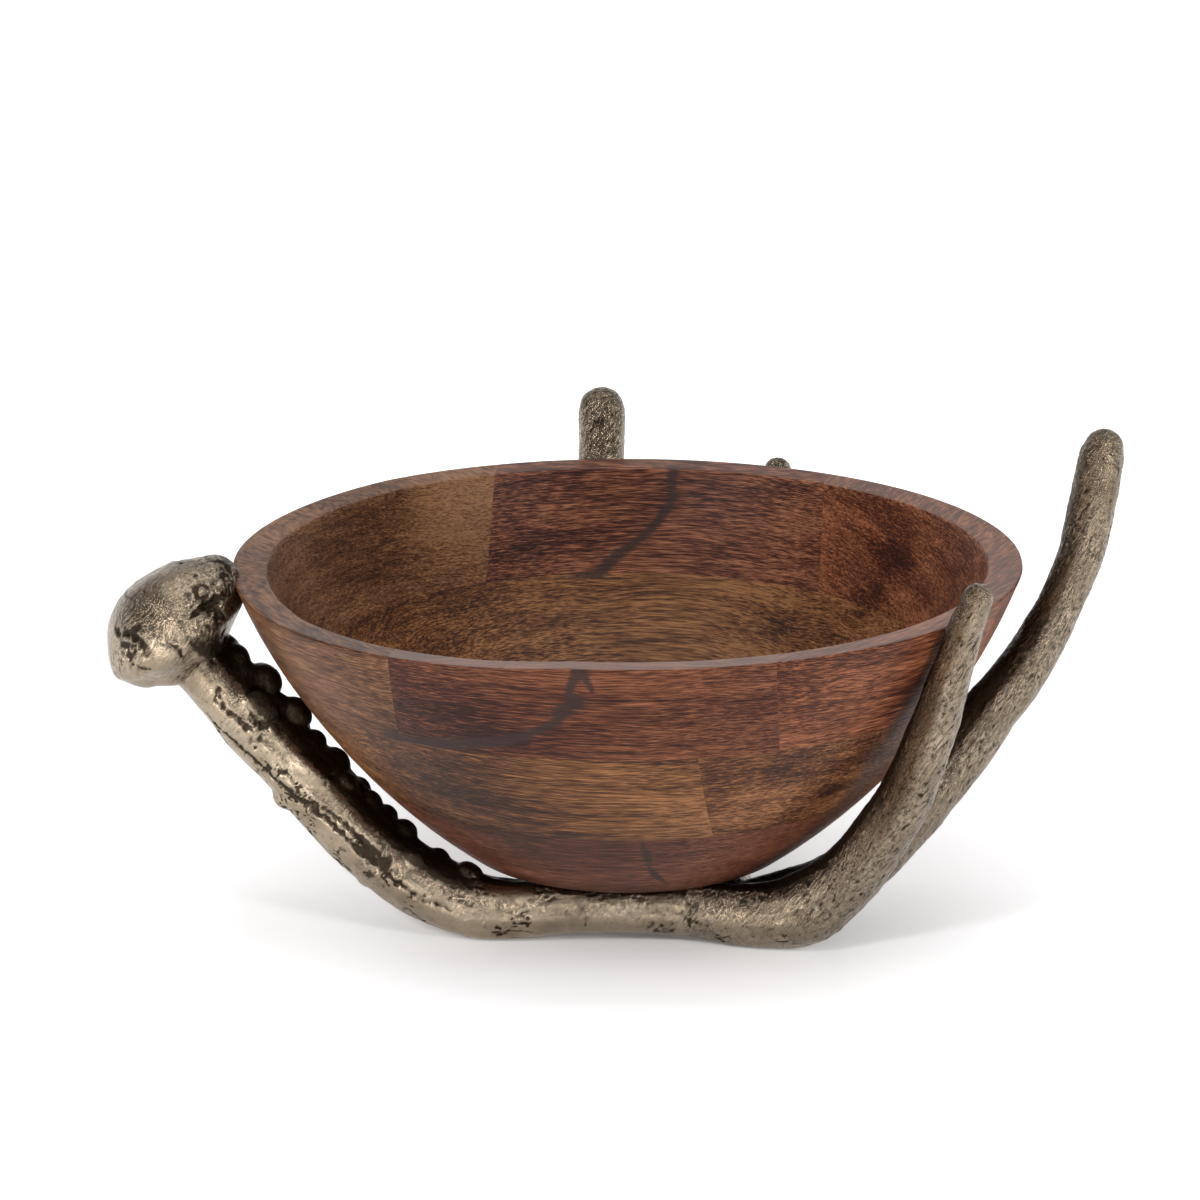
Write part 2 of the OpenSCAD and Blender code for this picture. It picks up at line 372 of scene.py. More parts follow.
# Centre lines of the castings about the bowl's axis: x, y, z above the ground, and radius, in mm.
BEAM = [
    (-194, -27, 126.5, 13.5), (-182.5, -29, 113, 14), (-170, -31, 98.5, 14.5), (-155.5, -33, 83.5, 15),
    (-140, -36, 67.5, 15.5), (-123.5, -40, 50, 15.5), (-106.5, -44, 34, 15.3), (-87, -49, 21.5, 15),
    (-67, -52, 14.2, 14.3), (-51.5, -54, 13, 13.1), (-36, -55, 14.3, 12.1), (-18.5, -55, 15, 11.6),
    (-3, -55, 15.1, 11.4), (12, -55, 15, 11.6), (27.5, -56, 14.5, 12.1), (47, -60, 13.4, 13.1),
    (64.5, -64, 14.1, 14.5), (79, -68, 19.5, 15.6), (93.5, -74, 33, 14.2), (105, -83, 51, 12.9),
    (118.3, -94.7, 77.5, 11.4), (124.6, -102.5, 97.5, 10.5), (130.4, -108.3, 118, 9.6),
    (135.2, -114, 139, 8.4), (141, -117.6, 159.5, 7), (145.8, -121, 174.5, 6.1),
]
RIGHT_TINE = [
    (50, -54, 14.5, 11), (72, -46, 16, 12), (95, -40, 23, 12.5), (110, -36, 33.5, 12.7),
    (136.5, -25, 61, 12.7), (160, -14, 91, 12.3), (176, -7, 110, 11), (188, 0, 128, 10),
    (198.5, 6, 150.5, 9.4), (203, 10, 164, 10), (206.5, 13, 178, 10.2), (210.5, 19, 200, 9.4),
    (211.5, 20, 204.5, 8.2),
]
BACK_BEAM = [
    (46, -52, 13.8, 11.5), (43, -20, 14.2, 12.4), (38, 20, 14, 12.6), (30, 60, 13.6, 12.8),
    (20, 86, 13.7, 13.2), (9, 110, 28, 12.3), (-2, 140, 64, 11.6), (-8, 165, 105, 11),
    (-12.4, 182.6, 146.5, 10.9), (-12.3, 190.5, 180, 10.4),
]
SMALL_TINE = [
    (24, 82, 14.5, 10), (40, 108, 30, 9), (54, 136, 66, 8.5), (64, 158, 108, 7.5), (70, 172, 138, 6.5),
    (72, 177, 153, 6),
]
# Which casting each stretch of a centre line belongs to, by the centre line's own points.
ROUTES = [
    (BEAM, [("burr_beam", 0, 11), ("bridge", 11, 14), ("fork", 14, 17), ("front_tine", 17, 25)]),
    (RIGHT_TINE, [("right_tine", 0, 12)]),
    (BACK_BEAM, [("back_beam", 0, 4), ("back_tall_tine", 4, 9)]),
    (SMALL_TINE, [("back_small_tine", 0, 5)]),
]
CASTINGS = [name for _, stretches in ROUTES for name, _, _ in stretches]
FINE_VOXEL = 0.85 * MM
VOXEL = FINE_VOXEL
# The burr's main lump: its middle and half sizes in mm, and its lean in degrees.
# BURR_AT is the middle of the whole burr.
BURR_MIDDLE, BURR_SIZE, BURR_LEAN = (-199, -27, 140), (32.5, 28, 20.5), 33
BURR_AT = (-197.5, -27, 132)


def curved(route):
    """A centre line's points about every millimetre: place, radius and its own point number."""
    r = np.array(route, float)
    ends = np.vstack([2 * r[0] - r[1], r, 2 * r[-1] - r[-2]])
    out = []
    for i in range(1, len(r)):
        a, b, c, d = ends[i - 1:i + 3]
        count = max(int(np.linalg.norm((c - b)[:3])), 2)
        t = np.linspace(0, 1, count, endpoint=False)[:, None]
        p = 2 * b + (c - a) * t + (2 * a - 5 * b + 4 * c - d) * t ** 2
        p = 0.5 * (p + (3 * b - a - 3 * c + d) * t ** 3)
        out.append(np.hstack([p, i - 1 + t]))
    return np.vstack(out)


def to_frame(p):
    """From mm about the bowl's axis to the frame."""
    return np.asarray(p, float) * MM + (AXIS.x, AXIS.y, 0)


def ball(centre, radii, turn):
    """A rounded lump as points and triangles, turned about Y by an angle in degrees."""
    form = bmesh.new()
    bmesh.ops.create_icosphere(form, subdivisions=3, radius=1.0)
    p = np.array([v.co for v in form.verts]) * np.array(radii) * MM
    faces = [tuple(v.index for v in f.verts) for f in form.faces]
    form.free()
    return p @ np.array(Matrix.Rotation(math.radians(turn), 3, "Y")).T + to_frame(centre), faces


# Lumps cast on the antler: centre and half sizes in mm about the bowl's axis, and turn about Y in degrees.
LUMPS = [
    # The burr's thick edge, cheek and feet.
    (BURR_MIDDLE, BURR_SIZE, -BURR_LEAN), ((-182.5, -25, 151), (12, 20, 15), 12),
    ((-192, -42, 139), (18, 15.5, 12), 42), ((-181, -40, 146), (8, 9, 9), 10),
    ((-214, -34, 121), (13, 16, 10), 40), ((-205, -34, 120), (15, 14, 9), 12),
    ((-202, 2, 121), (13, 10, 8), 30), ((-186, 2, 140), (10, 9, 10), 20),
    # Swellings on the outer face and under the beam.
    ((-138, -44, 72), (15, 8, 8), 42), ((-150.5, -38, 60), (6, 7, 5), 40),
    ((-114, -45, 25.5), (6, 7, 5), 30), ((-160, -42, 103), (9, 5.5, 6), 45),
    ((-124, -28, 38), (6, 8, 5), 30), ((-166, -24, 78), (6, 8, 5), 45),
]
# Pearls along the side that faces the bowl: place on the beam's centre line, turn round it towards the back,
# height above the beam's surface, and radius.
PEARLS = [
    (0.15, 12, 5.5, 5), (0.75, 30, 4.5, 5.5), (1.05, 4, 5, 5), (1.45, -8, 3.2, 4.5), (1.9, 8, 8, 7),
    (2.2, 40, 3, 5.5), (2.5, -4, 3.2, 5), (2.88, 4, 7, 6.6), (3.2, 40, 2.4, 5.5), (3.55, 0, 2.6, 5),
    (4.1, 8, 3.2, 6), (4.45, -24, 2, 4.5), (4.8, 30, 2.4, 5), (5.05, -4, 2.2, 5), (5.5, 16, 1.8, 4.5),
    (6.0, 4, 3.2, 5.6), (6.4, -42, 2.4, 4.6), (6.9, 20, 2, 5), (7.65, 0, 3.4, 5.8),
]
# Cuts in the castings: points in mm about the bowl's axis, half width and depth there.
CUTS = [
    # The burr: the ragged hollow under its rim, the rim groove beside it, a crease and a pitted patch.
    [(-189, -55, 146, 1.0, 0.8), (-185, -51, 149.5, 2.4, 2.2), (-181, -48, 150, 3.0, 3.0),
     (-178, -45, 152.5, 2.0, 2.6), (-175, -39, 152, 1.4, 1.6), (-174, -33, 156, 1.0, 1.2)],
    [(-184, -24, 165, 1.2, 1.0), (-181, -31, 159, 1.6, 1.8), (-178.5, -38, 155, 1.4, 2.0),
     (-181, -44, 150, 1.6, 2.2), (-178, -49, 145, 1.4, 2.6), (-180, -50, 139, 1.0, 1.8)],
    [(-200, -60, 137.5, 0.5, 0.5), (-196, -60, 135.5, 1.1, 1.4), (-193, -59, 133, 1.2, 1.5),
     (-191, -56, 128, 0.6, 0.7)],
    [(-223, -42, 138, 1.2, 1.0), (-219, -47, 136, 1.8, 1.6), (-215, -51, 138.5, 1.2, 1.0),
     (-211, -54, 136, 2.0, 1.8), (-209, -55.5, 132, 1.3, 1.8)],
    [(-214, -46, 153, 0.5, 0.4), (-205, -48, 157, 0.4, 0.4), (-199, -48, 162, 0.6, 0.6)],
    [(-221, -46, 128, 0.4, 0.4), (-212, -55, 125, 0.6, 0.7), (-206, -58, 124, 0.7, 0.9),
     (-201, -58, 122, 0.4, 0.5)],
    [(-222, -20, 150, 0.5, 0.5), (-216, -38, 150, 0.7, 0.6), (-210, -49, 147, 0.4, 0.4)],
    # The collar under the burr.
    [(-176, -43, 138, 1.6, 2.0), (-181, -44, 129, 1.5, 1.5), (-187, -44, 121, 1.4, 1.3),
     (-193, -42, 114, 1.2, 1.0)],
    # The arrow of furrows below it.
    [(-178, -43, 111, 1.2, 1.0), (-180.5, -43, 106, 1.0, 0.9), (-176.5, -44, 103, 1.1, 1.0),
     (-178, -43, 111, 0.9, 0.9)],
    [(-176.5, -44, 103, 0.9, 0.8), (-170, -45.5, 98.5, 1.0, 1.0), (-166, -46, 94, 1.2, 1.1),
     (-161, -46, 91, 0.6, 0.5)],
    [(-165, -45, 101, 1.2, 0.9), (-162.5, -45.5, 96, 1.2, 1.2), (-156.5, -44, 95.5, 1.1, 1.3),
     (-153.5, -41, 99, 0.7, 0.9)],
    # Long ragged grooves down the outer face.
    [(-186, -40, 98, 0.8, 0.5), (-172, -43, 87, 1.1, 0.8), (-160, -45.5, 75.5, 1.3, 1.1),
     (-143.5, -51, 62.5, 1.6, 1.3), (-130, -54, 53.5, 1.5, 1.3), (-117, -57, 42, 1.9, 1.6),
     (-106, -59.5, 33.5, 1.8, 1.5), (-99, -61, 27, 1.3, 1.1), (-88, -63.5, 20.5, 1.0, 0.8),
     (-77, -65, 17, 0.6, 0.4)],
    [(-148, -49.5, 68, 0.9, 0.8), (-130, -54, 58, 1.2, 1.2), (-121, -55, 51, 1.4, 1.4),
     (-113, -57, 43, 2.2, 1.6), (-106, -58, 38, 1.0, 0.8)],
    [(-133, -50, 70, 1.3, 2.6), (-130.5, -48, 72, 1.6, 3.0), (-127, -45, 75, 1.2, 2.0)],
    [(-89.5, -55.5, 38, 1.3, 1.8), (-86, -58, 30, 1.3, 1.6)],
    # Dressing marks across the beam, where the castings join.
    [(-18, -66, 22, 0.7, 0.5), (-17.5, -67, 15, 0.8, 0.6), (-18, -65, 9, 0.6, 0.4)],
    [(28, -66, 22, 0.7, 0.6), (28, -68, 15, 0.9, 0.7), (28.5, -66, 9, 0.6, 0.5)],
    [(32, -66, 21, 0.5, 0.4), (32, -68, 15, 0.7, 0.6), (32.5, -66, 9, 0.5, 0.4)],
    # Single pits.
    [(-57.5, -64, 5.5, 1.6, 1.3), (-56, -64.5, 5.5, 1.4, 1.2)],
    [(-51.5, -65, 7.5, 1.3, 1.2), (-51, -65, 7.5, 1.2, 1.0)],
    [(78, -80, 36, 1.4, 1.6), (79, -80.5, 35, 1.4, 1.6)],
    [(-52, -66.5, 16.5, 1.1, 1.0), (-51, -66.5, 16.5, 1.0, 0.9)],
]
# Rough, dirty patches of the casting: centre in the same mm, reach, and height of the roughness.
ROUGH_PATCHES = [
    (-182, -48, 150, 8.5, 1.5), (-175, -30, 160, 9, 1.2), (-213, -52, 135, 8, 1.2),
    (-182, -44, 128, 8, 0.8), (-196, -20, 166, 8, 0.7), (-222, -20, 150, 9, 0.7), (-160, -45, 95, 8, 0.5),
    (-108, -58, 36, 12, 0.5), (-20, -66, 15, 6, 0.3), (30, -67, 14, 7, 0.4), (15, -66, 10, 7, 0.4),
]


def pearls():
    """The pearls as lumps, each standing on the beam."""
    line = curved(BEAM)
    out = []
    for place, turn, height, radius in PEARLS:
        at = np.array([np.interp(place, line[:, 4], line[:, c]) for c in range(4)])
        on = np.array([np.interp(place + 0.1, line[:, 4], line[:, c]) for c in range(3)]) - at[:3]
        face = np.cross((0, 1, 0), on)
        face = face / np.linalg.norm(face) * (1 if face[2] > 0 else -1)
        turn = math.radians(turn)
        way = math.cos(turn) * face + math.sin(turn) * np.array([0, 1, 0])
        centre = at[:3] + (at[3] + height - radius) * way
        slope = math.degrees(math.atan2(-on[2], on[0]))
        out.append((tuple(centre), (radius * 1.15, radius * 1.1, radius), slope))
    return out


def applied(holder):
    """An object's mesh with its modifiers applied."""
    shown = holder.evaluated_get(bpy.context.evaluated_depsgraph_get())
    return bpy.data.meshes.new_from_object(shown)


def casting_mesh():
    """All the castings and their lumps as one even skin, with its hollows and bumps softened."""
    points, faces, count = [], [], 0
    for name in CASTINGS:
        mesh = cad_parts[name].data
        points.append(points_of(mesh))
        faces += [tuple(v + count for v in f.vertices) for f in mesh.polygons]
        count += len(mesh.vertices)
    for centre, radii, turn in LUMPS + pearls():
        p, triangles = ball(centre, radii, turn)
        points.append(p)
        faces += [tuple(v + count for v in t) for t in triangles]
        count += len(p)
    mesh = bpy.data.meshes.new("castings")
    mesh.from_pydata(np.concatenate(points).tolist(), [], faces)
    mesh.update()
    holder = bpy.data.objects.new("castings", mesh)
    bpy.context.scene.collection.objects.link(holder)
    remesh = holder.modifiers.new("remesh", "REMESH")
    remesh.mode = "VOXEL"
    remesh.voxel_size = VOXEL
    soften = holder.modifiers.new("soften", "SMOOTH")
    soften.factor = 0.5
    soften.iterations = round(9 * (FINE_VOXEL / VOXEL) ** 2)
    holder.data = applied(holder)
    holder.modifiers.clear()
    burr = holder.vertex_groups.new(name="burr")
    reach = np.linalg.norm(points_of(holder.data) - to_frame(BURR_AT), axis=1)
    burr.add(np.nonzero(reach < 46 * MM)[0].tolist(), 1.0, "REPLACE")
    melt = holder.modifiers.new("melt", "SMOOTH")
    melt.vertex_group = "burr"
    melt.factor = 0.5
    melt.iterations = round(34 * (FINE_VOXEL / VOXEL) ** 2)
    done = applied(holder)
    bpy.data.objects.remove(holder)
    return done


def normals_of(mesh):
    out = np.empty(len(mesh.vertices) * 3, np.float32)
    mesh.vertex_normals.foreach_get("vector", out)
    return out.reshape(-1, 3).astype(float)


def along_routes(p):
    """For each point: its casting's number, and its distance along the centre line and off it, in mm."""
    path, owner, far, frames = [], [], [], []
    for route, stretches in ROUTES:
        line = curved(route)
        at = to_frame(line[:, :3])
        heading = np.gradient(at, axis=0)
        heading /= np.linalg.norm(heading, axis=1)[:, None]
        side_way = np.cross(heading, (1, 0, 0) if route in (BACK_BEAM, SMALL_TINE) else (0, 1, 0))
        side_way /= np.linalg.norm(side_way, axis=1)[:, None]
        frames.append(np.stack([heading, side_way, np.cross(heading, side_way)], axis=1))
        path.append(at)
        far.append(np.append(0, np.cumsum(np.linalg.norm(np.diff(at, axis=0), axis=1))) / MM)
        which = np.zeros(len(line), int)
        for name, first, last in stretches:
            which[(line[:, 4] >= first) & (line[:, 4] <= last)] = CASTINGS.index(name)
        owner.append(which)
    path, owner, far, frames = (np.concatenate(x) for x in (path, owner, far, frames))
    tree = kdtree.KDTree(len(path))
    for i, q in enumerate(path):
        tree.insert(q, i)
    tree.balance()
    near = np.array([tree.find(q)[1] for q in p])
    offset = np.einsum("nij,nj->ni", frames[near], p - path[near]) / MM
    return owner[near], far[near] + offset[:, 0], offset[:, 1:]


def share_of(owner, *names):
    """1 at the vertices of these castings, 0 at the others."""
    return np.isin(owner, [CASTINGS.index(name) for name in names]).astype(float)


def from_burr(q):
    """How far each place is from the burr's middle, in times the burr's half sizes."""
    away, lean = q - BURR_MIDDLE, math.radians(BURR_LEAN)
    along = away[:, 0] * math.cos(lean) + away[:, 2] * math.sin(lean)
    over = away[:, 2] * math.cos(lean) - away[:, 0] * math.sin(lean)
    length, width, height = BURR_SIZE
    return np.sqrt((along / length) ** 2 + (away[:, 1] / width) ** 2 + (over / height) ** 2)


def cuts_at(q):
    """How deep the cuts are at each place, in mm, and how much dirt lies in them."""
    depth, dirt = np.zeros(len(q)), np.zeros(len(q))
    crumble = noise(q / 2.0, 25)
    wander = q + np.stack([noise(q / 2.6, s) for s in (21, 22, 23)], axis=1) * 1.3
    for line in CUTS:
        line = np.array(line)
        d, along = line_distance(wander, line[:, :3])
        lengths = np.append(0, np.cumsum(np.linalg.norm(np.diff(line[:, :3], axis=0), axis=1)))
        half = np.interp(along, lengths / lengths[-1], line[:, 3])
        deep = np.interp(along, lengths / lengths[-1], line[:, 4])
        groove = (1 - ramp(d / half, 0.2, 1.3)) * (0.45 + 0.55 * ramp(crumble, -0.3, 0.25))
        depth += deep * groove * 0.8
        dirt = np.maximum(dirt, groove * np.minimum(0.25 + 0.6 * deep, 1))
    return depth, dirt


def rough_patches_at(q):
    """The rough patches at each place: their height in mm, their strength, and how much dirt they hold."""
    crumbs = rough_noise(q / 3.6, 2, 24)
    lift, strength = np.zeros(len(q)), np.zeros(len(q))
    for x, y, z, reach, height in ROUGH_PATCHES:
        near = np.exp(-(np.linalg.norm(q - (x, y, z), axis=1) / reach) ** 2)
        lift += height * near * crumbs
        strength = np.maximum(strength, near * min(height, 1))
    return lift, strength, 1.3 * strength * ramp(-crumbs, 0.05, 0.4)


def bowl_beside(q, n, owner, offset):
    """Painted shade where the metal faces the bowl, and a painted brown reflection of the bowl on the tines.
    """
    out_from_axis = np.linalg.norm(q[:, :2], axis=1)
    height = q[:, 2] * MM - FOOT_Z
    wall = np.where(height > 0, outer_wall(np.clip(height, 0, BOWL_H)), FOOT_R) / MM
    gap = np.hypot(np.maximum(out_from_axis - wall, 0) * 0.72, np.maximum(-height / MM, 0))
    facing = -(n[:, :2] * q[:, :2]).sum(axis=1) / np.maximum(out_from_axis, 20) * 0.75 + 0.66 * n[:, 2]
    # Painted shade: darker where the surface faces the bowl and lies close to it, fading towards the top.
    shade = ramp(facing, 0.15, 0.8) * (1 - ramp(gap, 9, 46)) * (0.9 - 0.75 * ramp(q[:, 2], 95, 150))
    # Painted shade on the beam's side that faces the bowl, outside the burr; patina adds to it there.
    inner = ramp(offset[:, 0] / 14, 0.50, 0.80) * share_of(owner, "burr_beam")
    inner = inner * ramp(from_burr(q), 1.12, 1.28) * ramp(-q[:, 0], 55, 80)
    # Painted reflection: the tines' faces towards the bowl are tinted brown as the bowl's mirror image.
    tines = share_of(owner, "fork", "front_tine", "right_tine") * ramp(q[:, 2], 25, 90)
    painted_reflection = tines * ramp(0.2 * n[:, 2] - n[:, 0], 0.05, 0.40)
    painted_reflection = painted_reflection * (1 - ramp(gap, 20, 75)) * (1 - 0.4 * ramp(q[:, 2], 140, 200))
    return np.maximum(inner, shade), painted_reflection


def cast_surface(mesh):
    """Presses the cast antler's bumps, furrows and pits into the skin. Returns each vertex's casting."""
    p, n = points_of(mesh), normals_of(mesh)
    q = (p - (AXIS.x, AXIS.y, 0)) / MM
    owner, far, offset = along_routes(p)
    beam = share_of(owner, "burr_beam", "bridge", "fork", "back_beam")
    tine = 1 - beam
    burr = 1 - ramp(np.linalg.norm(q - BURR_AT, axis=1), 30, 42)
    rough = beam * ramp(-q[:, 0], 20, 70) * (1 - burr)

    # Swellings, and folds along the antler.
    long = np.stack([far / 30, offset[:, 0] / 5, offset[:, 1] / 5], axis=1)
    lift = 0.65 + 0.9 * noise(q / 21, 11) + 0.3 * noise(q / 8.5, 12)
    lift += (0.25 + 0.35 * rough) * (1 - burr) * noise(long, 13)

    # Furrows, blisters and scattered pits.
    lower = ramp(-offset[:, 0], -6, 6)
    ragged = ramp(noise(q / 17, 14) + 0.32 * rough * lower, 0.22, 0.45)
    ragged = ragged * (1 - 0.7 * burr) * (0.25 + 0.75 * beam)
    stretched = np.stack([far / 9, offset[:, 0] / 3.4, offset[:, 1] / 3.4], axis=1)
    furrow = ramp(0.11 - np.abs(rough_noise(stretched, 2, 15)), 0, 0.09) * ragged
    lift += (0.09 + 0.12 * tine) * noise(q / 2.3, 17) + (0.06 + 0.06 * tine) * noise(q / 1.25, 18)
    lift -= 0.55 * furrow
    pit = ramp(0.12 - cell_distance(q / 8, 19), 0, 0.06) * ramp(noise(q / 24, 20), 0.0, 0.3)
    lift -= 0.6 * pit

    # The cuts and rough patches that have places of their own.
    cut_depth, cut_dirt = cuts_at(q)
    patch_lift, patchy, patch_dirt = rough_patches_at(q)
    lift += patch_lift - cut_depth

    # The feet stay flat on the table.
    moved = p + n * (lift * ramp(p[:, 2] / MM, 0.2, 2.0) * MM)[:, None]
    moved[:, 2] = np.maximum(moved[:, 2], 0)
    mesh.vertices.foreach_set("co", np.array(moved, np.float32).ravel())
    mesh.update()

    # Painted shade where the castings face the bowl, and a painted reflection of the bowl on the tines.
    shade, painted_reflection = bowl_beside(q, n, owner, offset)
    coarse = 0.30 + 0.70 * tine + 0.45 * share_of(owner, "fork") + 0.5 * patchy + 0.12 * burr
    store(mesh, "dirt", np.clip(furrow + 0.9 * pit + cut_dirt + patch_dirt, 0, 1))
    store(mesh, "shade", shade)
    store(mesh, "painted_reflection", painted_reflection)
    store(mesh, "coarse", np.clip(coarse, 0, 1))
    return owner


def split_castings(mesh, owner):
    """One piece for each casting, with the whole skin's normals so that the dressed joins stay smooth."""
    corners = np.empty(len(mesh.loops), np.int32)
    mesh.loops.foreach_get("vertex_index", corners)
    starts = np.empty(len(mesh.polygons), np.int32)
    mesh.polygons.foreach_get("loop_start", starts)
    totals = np.empty(len(mesh.polygons), np.int32)
    mesh.polygons.foreach_get("loop_total", totals)
    p, n = points_of(mesh), normals_of(mesh)
    marks = {}
    for key in ("dirt", "shade", "coarse", "painted_reflection"):
        marks[key] = np.empty(len(p), np.float32)
        mesh.attributes[key].data.foreach_get("value", marks[key])
    pieces = []
    belongs = np.array([np.bincount(owner[corners[s:s + t]]).argmax() for s, t in zip(starts, totals)])
    for number, name in enumerate(CASTINGS):
        mine = np.nonzero(belongs == number)[0]
        used = np.unique(np.concatenate([corners[starts[f]:starts[f] + totals[f]] for f in mine]))
        index = np.full(len(p), -1)
        index[used] = np.arange(len(used))
        faces = [index[corners[starts[f]:starts[f] + totals[f]]].tolist() for f in mine]
        piece = make_mesh(name + "_cast", p[used].tolist(), faces, "stand", [name])
        for key, values in marks.items():
            store(piece.data, key, values[used])
        piece.data.normals_split_custom_set_from_vertices(n[used].tolist())
        pieces.append(piece)
    return pieces


skin = casting_mesh()
casting_of = cast_surface(skin)
metal_pieces = split_castings(skin, casting_of)
bpy.data.meshes.remove(skin)


# ---- Materials ----

VEIN_COLOUR = (0.022, 0.013, 0.012, 1)
# The pale grey-pink of the painted sheen on the rim's top.
RIM_TOP_SHEEN = (0.36, 0.245, 0.20, 1)
DULL_NICKEL, BRIGHT_NICKEL = (0.235, 0.182, 0.125), (0.455, 0.368, 0.27)
# Near black of the patina in the hollows, and of the painted shade where the castings face the bowl.
GRIME_AND_SHADE = (0.022, 0.015, 0.009, 1)
# Brown of the painted reflection of the bowl on the tines.
PAINTED_BOWL_REFLECTION = (0.085, 0.047, 0.025, 1)


class Nodes:
    """Short ways to add shader nodes to one material."""

    def __init__(self, name):
        self.material = bpy.data.materials.new(name)
        self.material.use_nodes = True
        self.tree = self.material.node_tree
        self.shader = self.tree.nodes["Principled BSDF"]

    def add(self, kind, sockets=(), **settings):
        node = self.tree.nodes.new(kind)
        for key, value in settings.items():
            setattr(node, key, value)
        for socket, value in dict(sockets).items():
            self.put(node.inputs[socket], value)
        return node

    def put(self, socket, value):
        if isinstance(value, bpy.types.NodeSocket):
            self.tree.links.new(value, socket)
        else:
            socket.default_value = value

    def place(self):
        return self.add("ShaderNodeTexCoord").outputs["Object"]

    def mapped(self, point, turn=(0, 0, 0), scale=(1, 1, 1), shift=(0, 0, 0)):
        turn = [math.radians(a) for a in turn]
        sockets = {"Vector": point, "Rotation": turn, "Scale": scale, "Location": shift}
        return self.add("ShaderNodeMapping", sockets).outputs[0]

    def noise(self, point, detail=2.0, rough=0.5, distort=0.0):
        sockets = {"Vector": point, "Scale": 1.0, "Detail": detail, "Roughness": rough, "Distortion": distort}
        return self.add("ShaderNodeTexNoise", sockets).outputs["Fac"]

    def math(self, operation, a, b=0.0, c=0.0):
        return self.add("ShaderNodeMath", {0: a, 1: b, 2: c}, operation=operation).outputs[0]

    def vector_math(self, operation, a, b):
        return self.add("ShaderNodeVectorMath", {0: a, 1: b}, operation=operation).outputs[0]

    def length(self, vector):
        return self.add("ShaderNodeVectorMath", {0: vector}, operation="LENGTH").outputs["Value"]

    def steps(self, value, stops):
        """A colour ramp through (position, colour) stops; a plain number stands for a grey."""
        made = self.add("ShaderNodeValToRGB", {"Fac": value})
        elements = made.color_ramp.elements
        for i, (position, colour) in enumerate(stops):
            colour = (colour,) * 3 if isinstance(colour, (int, float)) else colour
            stop = elements[i] if i < 2 else elements.new(position)
            stop.position = position
            stop.color = (*colour, 1)
        return made.outputs["Color"]

    def mark(self, name):
        """A number stored on the piece's vertices."""
        made = self.add("ShaderNodeAttribute", attribute_name=name, attribute_type="GEOMETRY")
        return made.outputs["Fac"]

    def blend(self, amount, a, b):
        made = self.add("ShaderNodeMix", data_type="RGBA")
        self.put(made.inputs[0], amount)
        self.put(made.inputs[6], a)
        self.put(made.inputs[7], b)
        return made.outputs[2]

    def bump(self, height, distance, strength):
        sockets = {"Height": height, "Distance": distance, "Strength": strength}
        return self.add("ShaderNodeBump", sockets).outputs[0]


def wood(name, turn, palette, contrast, shift, painted_top_sheen=0.0):
    """Finished hardwood: fibres run along the turned X, and growth layers lie across the turned Z.

    shift takes each board's pattern from another place, and painted_top_sheen paints a sheen that pales the
    rim's upward faces.
    """
    deep, dark, mid, light = palette
    m = Nodes(name)
    point = m.mapped(m.place(), turn=turn, shift=(shift, shift * 0.7, shift * 1.3))
    wide = m.mapped(point, scale=(11, 20, 26))
    drift = m.add("ShaderNodeTexNoise", {"Vector": wide, "Scale": 1.0, "Detail": 2.0})
    spread = m.vector_math("SUBTRACT", drift.outputs["Color"], (0.5, 0.5, 0.5))
    sway = m.vector_math("MULTIPLY", spread, (0.004, 0.008, 0.007))
    point = m.vector_math("ADD", point, sway)
    fine = m.noise(m.mapped(point, scale=(90, 480, 3000)), 2.0, 0.65)
    layer = m.noise(m.mapped(point, scale=(28, 110, 1250)), 2.0, 0.6)
    band = m.noise(m.mapped(point, scale=(8, 26, 150)), 2.0, 0.5)
    tone = m.noise(m.mapped(point, scale=(9, 14, 17)), 2.0, 0.5)
    streak = m.noise(m.mapped(point, scale=(60, 330, 2300)), 1.0, 0.5)
    value = m.math("MULTIPLY_ADD", fine, 1.05, -0.525)
    value = m.math("MULTIPLY_ADD", layer, 0.50, value)
    value = m.math("MULTIPLY_ADD", band, 0.34, value)
    value = m.math("MULTIPLY_ADD", tone, 0.40, value)
    value = m.math("ADD", value, -0.62)
    # The stored patches: tone in the wood, with a painted sheen and painted shade among them.
    value = m.math("MULTIPLY_ADD", m.mark("patch"), 0.35, value)
    value = m.math("MULTIPLY_ADD", value, 2.0 * contrast, 0.52)
    colour = m.steps(value, [(0.12, deep), (0.36, dark), (0.58, mid), (0.9, light)])
    lines = m.steps(streak, [(0.55, 0.0), (0.66, 1.0)])
    colour = m.blend(m.math("MULTIPLY", lines, 0.62), colour, (*deep, 1))
    edge = m.math("MULTIPLY_ADD", m.noise(m.mapped(point, scale=(260, 420, 700)), 2.0, 0.6), 1.7, -0.85)
    from_vein = m.math("MULTIPLY", m.math("ADD", m.mark("vein"), edge), 0.4)
    vein = m.steps(from_vein, [(0.28, 1.0), (0.5, 0.6), (0.72, 0.0)])
    colour = m.blend(m.math("MULTIPLY", vein, 0.86), colour, VEIN_COLOUR)
    # Painted sheen: faces that point up, the rim's top, are blended towards a pale grey-pink.
    if painted_top_sheen:
        normal = m.add("ShaderNodeNewGeometry").outputs["Normal"]
        facing = m.add("ShaderNodeSeparateXYZ", {0: normal}).outputs["Z"]
        colour = m.blend(m.steps(facing, [(0.80, 0.0), (0.95, painted_top_sheen)]), colour, RIM_TOP_SHEEN)
    m.put(m.shader.inputs["Base Color"], colour)
    m.put(m.shader.inputs["Roughness"], m.math("MULTIPLY_ADD", streak, 0.16, 0.38))
    m.shader.inputs["Specular IOR Level"].default_value = 0.14
    pores = m.math("MULTIPLY_ADD", lines, -0.4, m.math("MULTIPLY", fine, 0.5))
    m.put(m.shader.inputs["Normal"], m.bump(pores, 0.0001, 0.5))
    return m.material


